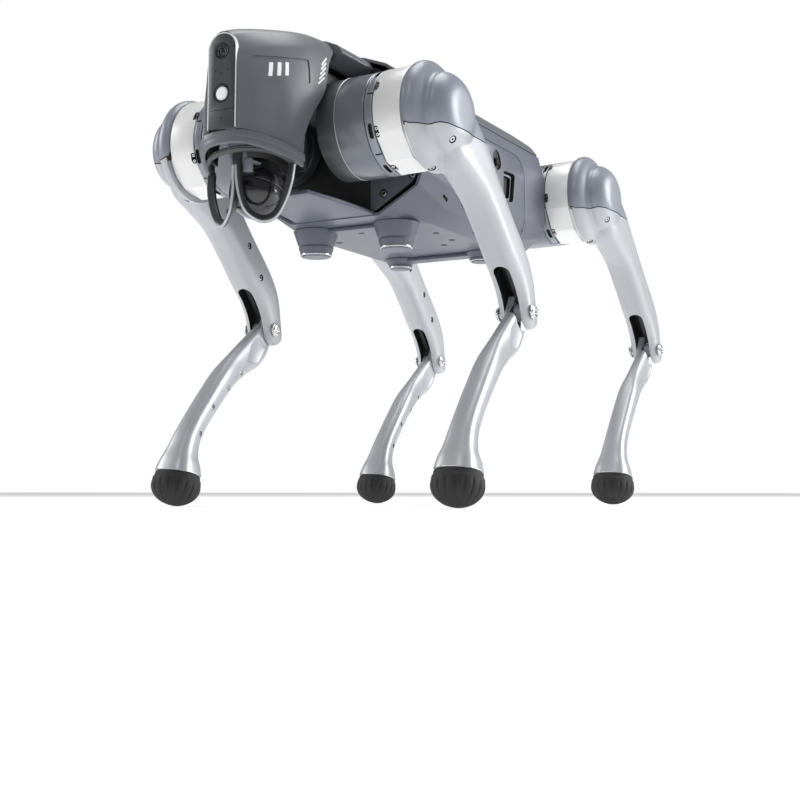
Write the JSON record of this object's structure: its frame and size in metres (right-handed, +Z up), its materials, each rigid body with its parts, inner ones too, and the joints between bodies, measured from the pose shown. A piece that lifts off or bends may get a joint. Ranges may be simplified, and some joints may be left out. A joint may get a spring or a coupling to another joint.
{
  "type": "quadruped robot dog",
  "caption": "Standing quadruped robot with a helmet-shaped head, a guarded spinning sensor, and legs with driven hip, thigh and knee joints.",
  "frame": {"origin": "on the floor under the middle of the whole box, standing", "axes": "+X forward, +Y to the left of the robot, +Z up"},
  "size_m": [0.6823, 0.3444, 0.4255],
  "materials": {
    "silver_casting": "fine satin paint on a casting",
    "motor_silver": "bead blasted",
    "blue_grey_plastic": "fine textured",
    "slate_plastic": "fine textured, satin",
    "dark_casting": "satin",
    "frame_black": "satin",
    "rubber_black": "moulded",
    "gloss_black": "polished",
    "lamp_white": "polished diffuser",
    "steel": "machined",
    "board_green": "solder resist"
  },
  "bodies": {
    "trunk": {"chassis_frame": "frame_black", "belly_tub": "blue_grey_plastic", "back_cover": "slate_plastic", "main_board": "board_green", "head_hood": "slate_plastic", "chin_collar": "blue_grey_plastic", "face_window": "gloss_black", "camera_lens": "gloss_black", "headlamp": "lamp_white", "lidar_mount": "frame_black", "lidar_guard": "frame_black", "front_landing_feet": "blue_grey_plastic", "rear_landing_feet": "blue_grey_plastic", "fl_hip_motor": "dark_casting", "fr_hip_motor": "dark_casting", "rl_hip_motor": "dark_casting", "rr_hip_motor": "dark_casting"},
    "battery": {"battery_pack": "blue_grey_plastic"},
    "button": {"power_button": "gloss_black"},
    "lidar": {"lidar_rotor": "gloss_black"},
    "fl_hip": {"fl_hip_bracket": "dark_casting", "fl_thigh_motor": "motor_silver"},
    "fl_thigh": {"fl_thigh_shell": "silver_casting", "fl_thigh_cover": "silver_casting", "fl_shoulder_cap": "blue_grey_plastic", "fl_knee_axle": "steel"},
    "fl_crank": {"fl_knee_crank": "steel"},
    "fl_rod": {"fl_push_rod": "frame_black"},
    "fl_shank": {"fl_shank": "silver_casting", "fl_foot": "rubber_black"},
    "fr_hip": {"fr_hip_bracket": "dark_casting", "fr_thigh_motor": "motor_silver"},
    "fr_thigh": {"fr_thigh_shell": "silver_casting", "fr_thigh_cover": "silver_casting", "fr_shoulder_cap": "blue_grey_plastic", "fr_knee_axle": "steel"},
    "fr_crank": {"fr_knee_crank": "steel"},
    "fr_rod": {"fr_push_rod": "frame_black"},
    "fr_shank": {"fr_shank": "silver_casting", "fr_foot": "rubber_black"},
    "rl_hip": {"rl_hip_bracket": "dark_casting", "rl_thigh_motor": "motor_silver"},
    "rl_thigh": {"rl_thigh_shell": "silver_casting", "rl_thigh_cover": "silver_casting", "rl_shoulder_cap": "blue_grey_plastic", "rl_knee_axle": "steel"},
    "rl_crank": {"rl_knee_crank": "steel"},
    "rl_rod": {"rl_push_rod": "frame_black"},
    "rl_shank": {"rl_shank": "silver_casting", "rl_foot": "rubber_black"},
    "rr_hip": {"rr_hip_bracket": "dark_casting", "rr_thigh_motor": "motor_silver"},
    "rr_thigh": {"rr_thigh_shell": "silver_casting", "rr_thigh_cover": "silver_casting", "rr_shoulder_cap": "blue_grey_plastic", "rr_knee_axle": "steel"},
    "rr_crank": {"rr_knee_crank": "steel"},
    "rr_rod": {"rr_push_rod": "frame_black"},
    "rr_shank": {"rr_shank": "silver_casting", "rr_foot": "rubber_black"}
  },
  "joints": [
    {"name": "fl_abduction", "type": "hinge", "parent": "trunk", "child": "fl_hip", "pos_m": [0.2068, 0.0465, 0.33763], "axis": [1, 0, 0], "range_deg": [-43.2, 46.8]},
    {"name": "fl_pitch", "type": "hinge", "parent": "fl_hip", "child": "fl_thigh", "pos_m": [0.2068, 0.14198, 0.33963], "axis": [0, 0.9998, 0.0209], "range_deg": [-132.2, 157.8]},
    {"name": "fl_knee", "type": "hinge", "parent": "fl_thigh", "child": "fl_shank", "pos_m": [0.06372, 0.14528, 0.18187], "axis": [0, 0.9998, 0.0209], "range_deg": [-67.9, 34.1]},
    {"name": "fl_crank", "type": "hinge", "parent": "fl_thigh", "child": "fl_crank", "pos_m": [0.2068, 0.14198, 0.33963], "axis": [0, 0.9998, 0.0209], "range_deg": [-68, 34.2]},
    {"name": "fl_rod", "type": "hinge", "parent": "fl_crank", "child": "fl_rod", "pos_m": [0.20567, 0.14171, 0.35257], "axis": [0, 0.9998, 0.0209], "range_deg": [-34.2, 68]},
    {"name": "fr_abduction", "type": "hinge", "parent": "trunk", "child": "fr_hip", "pos_m": [0.2068, -0.0465, 0.33763], "axis": [1, 0, 0], "range_deg": [-46.8, 43.2]},
    {"name": "fr_pitch", "type": "hinge", "parent": "fr_hip", "child": "fr_thigh", "pos_m": [0.2068, -0.14198, 0.33963], "axis": [0, 0.9998, -0.0209], "range_deg": [-132.2, 157.8]},
    {"name": "fr_knee", "type": "hinge", "parent": "fr_thigh", "child": "fr_shank", "pos_m": [0.06372, -0.14528, 0.18187], "axis": [0, 0.9998, -0.0209], "range_deg": [-67.9, 34.1]},
    {"name": "fr_crank", "type": "hinge", "parent": "fr_thigh", "child": "fr_crank", "pos_m": [0.2068, -0.14198, 0.33963], "axis": [0, 0.9998, -0.0209], "range_deg": [-68, 34.2]},
    {"name": "fr_rod", "type": "hinge", "parent": "fr_crank", "child": "fr_rod", "pos_m": [0.20567, -0.14171, 0.35257], "axis": [0, 0.9998, -0.0209], "range_deg": [-34.2, 68]},
    {"name": "rl_abduction", "type": "hinge", "parent": "trunk", "child": "rl_hip", "pos_m": [-0.18, 0.0465, 0.33763], "axis": [1, 0, 0], "range_deg": [-43.2, 46.8]},
    {"name": "rl_pitch", "type": "hinge", "parent": "rl_hip", "child": "rl_thigh", "pos_m": [-0.18, 0.14198, 0.33963], "axis": [0, 0.9998, 0.0209], "range_deg": [-47, 217.8]},
    {"name": "rl_knee", "type": "hinge", "parent": "rl_thigh", "child": "rl_shank", "pos_m": [-0.32308, 0.14528, 0.18187], "axis": [0, 0.9998, 0.0209], "range_deg": [-67.9, 34.1]},
    {"name": "rl_crank", "type": "hinge", "parent": "rl_thigh", "child": "rl_crank", "pos_m": [-0.18, 0.14198, 0.33963], "axis": [0, 0.9998, 0.0209], "range_deg": [-68, 34.2]},
    {"name": "rl_rod", "type": "hinge", "parent": "rl_crank", "child": "rl_rod", "pos_m": [-0.18113, 0.14171, 0.35257], "axis": [0, 0.9998, 0.0209], "range_deg": [-34.2, 68]},
    {"name": "rr_abduction", "type": "hinge", "parent": "trunk", "child": "rr_hip", "pos_m": [-0.18, -0.0465, 0.33763], "axis": [1, 0, 0], "range_deg": [-46.8, 43.2]},
    {"name": "rr_pitch", "type": "hinge", "parent": "rr_hip", "child": "rr_thigh", "pos_m": [-0.18, -0.14198, 0.33963], "axis": [0, 0.9998, -0.0209], "range_deg": [-47, 217.8]},
    {"name": "rr_knee", "type": "hinge", "parent": "rr_thigh", "child": "rr_shank", "pos_m": [-0.32308, -0.14528, 0.18187], "axis": [0, 0.9998, -0.0209], "range_deg": [-67.9, 34.1]},
    {"name": "rr_crank", "type": "hinge", "parent": "rr_thigh", "child": "rr_crank", "pos_m": [-0.18, -0.14198, 0.33963], "axis": [0, 0.9998, -0.0209], "range_deg": [-68, 34.2]},
    {"name": "rr_rod", "type": "hinge", "parent": "rr_crank", "child": "rr_rod", "pos_m": [-0.18113, -0.14171, 0.35257], "axis": [0, 0.9998, -0.0209], "range_deg": [-34.2, 68]},
    {"name": "battery_slide", "type": "slide", "parent": "trunk", "child": "battery", "axis": [0, 1, 0], "range_m": [0, 0.14]},
    {"name": "power_press", "type": "slide", "parent": "battery", "child": "button", "axis": [0, -1, 0], "range_m": [0, 0.0015], "stiffness_N_per_m": 400},
    {"name": "lidar_spin", "type": "hinge", "parent": "trunk", "child": "lidar", "pos_m": [0.2874, 0, 0.27113], "axis": [-0.309, 0, 0.9511], "continuous": true}
  ],
  "couplings": [
    {"joint": "fl_crank", "follows": "fl_knee", "ratio": 1},
    {"joint": "fl_rod", "follows": "fl_knee", "ratio": -1},
    {"joint": "fr_crank", "follows": "fr_knee", "ratio": 1},
    {"joint": "fr_rod", "follows": "fr_knee", "ratio": -1},
    {"joint": "rl_crank", "follows": "rl_knee", "ratio": 1},
    {"joint": "rl_rod", "follows": "rl_knee", "ratio": -1},
    {"joint": "rr_crank", "follows": "rr_knee", "ratio": 1},
    {"joint": "rr_rod", "follows": "rr_knee", "ratio": -1}
  ]
}
